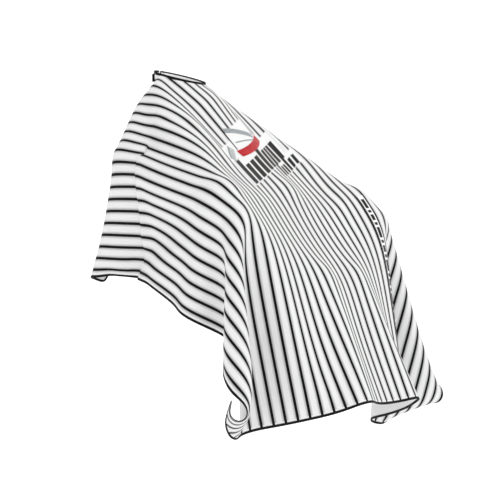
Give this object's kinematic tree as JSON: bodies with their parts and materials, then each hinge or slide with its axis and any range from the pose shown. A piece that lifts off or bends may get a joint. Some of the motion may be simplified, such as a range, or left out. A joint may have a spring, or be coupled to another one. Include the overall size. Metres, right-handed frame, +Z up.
{
  "type": "barber cape",
  "caption": "Striped barber cape draped as on a seated wearer, with black piping, a neck opening and a snap tab at the nape.",
  "frame": {"origin": "middle of the neck opening, at the height of the neck edge over the shoulders", "axes": "+Z up, the wearer faces -Y, and the wearer's right hand is at -X"},
  "size_m": [1.091, 0.7554, 0.9676],
  "materials": {
    "striped_cloth": "woven polyester, white with thin black stripes",
    "black_tape": "black woven binding tape",
    "white_tape": "white woven tape",
    "emblem_print": "flat heat pressed print",
    "snap_metal": "bright nickel"
  },
  "bodies": {
    "cape": {"main_panel": "striped_cloth", "hem_binding": "black_tape", "neck_binding": "black_tape", "neck_band": "white_tape", "side_tape": "white_tape", "chest_emblem": "emblem_print", "stud_strip": "white_tape", "tab_anchor": "black_tape", "snap_stud_1": "snap_metal", "snap_post_1": "snap_metal", "snap_stud_2": "snap_metal", "snap_post_2": "snap_metal", "snap_stud_3": "snap_metal", "snap_post_3": "snap_metal", "snap_stud_4": "snap_metal", "snap_post_4": "snap_metal"},
    "tab": {"closure_tab": "black_tape", "snap_socket_1": "snap_metal", "snap_socket_2": "snap_metal", "snap_cap_1": "snap_metal", "snap_cap_2": "snap_metal"}
  },
  "joints": [
    {"name": "tab_hinge", "type": "hinge", "parent": "cape", "child": "tab", "pos_m": [-0.02956, 0.06773, 0.00152], "axis": [0, 0, 1], "range_deg": [0, 110]}
  ]
}
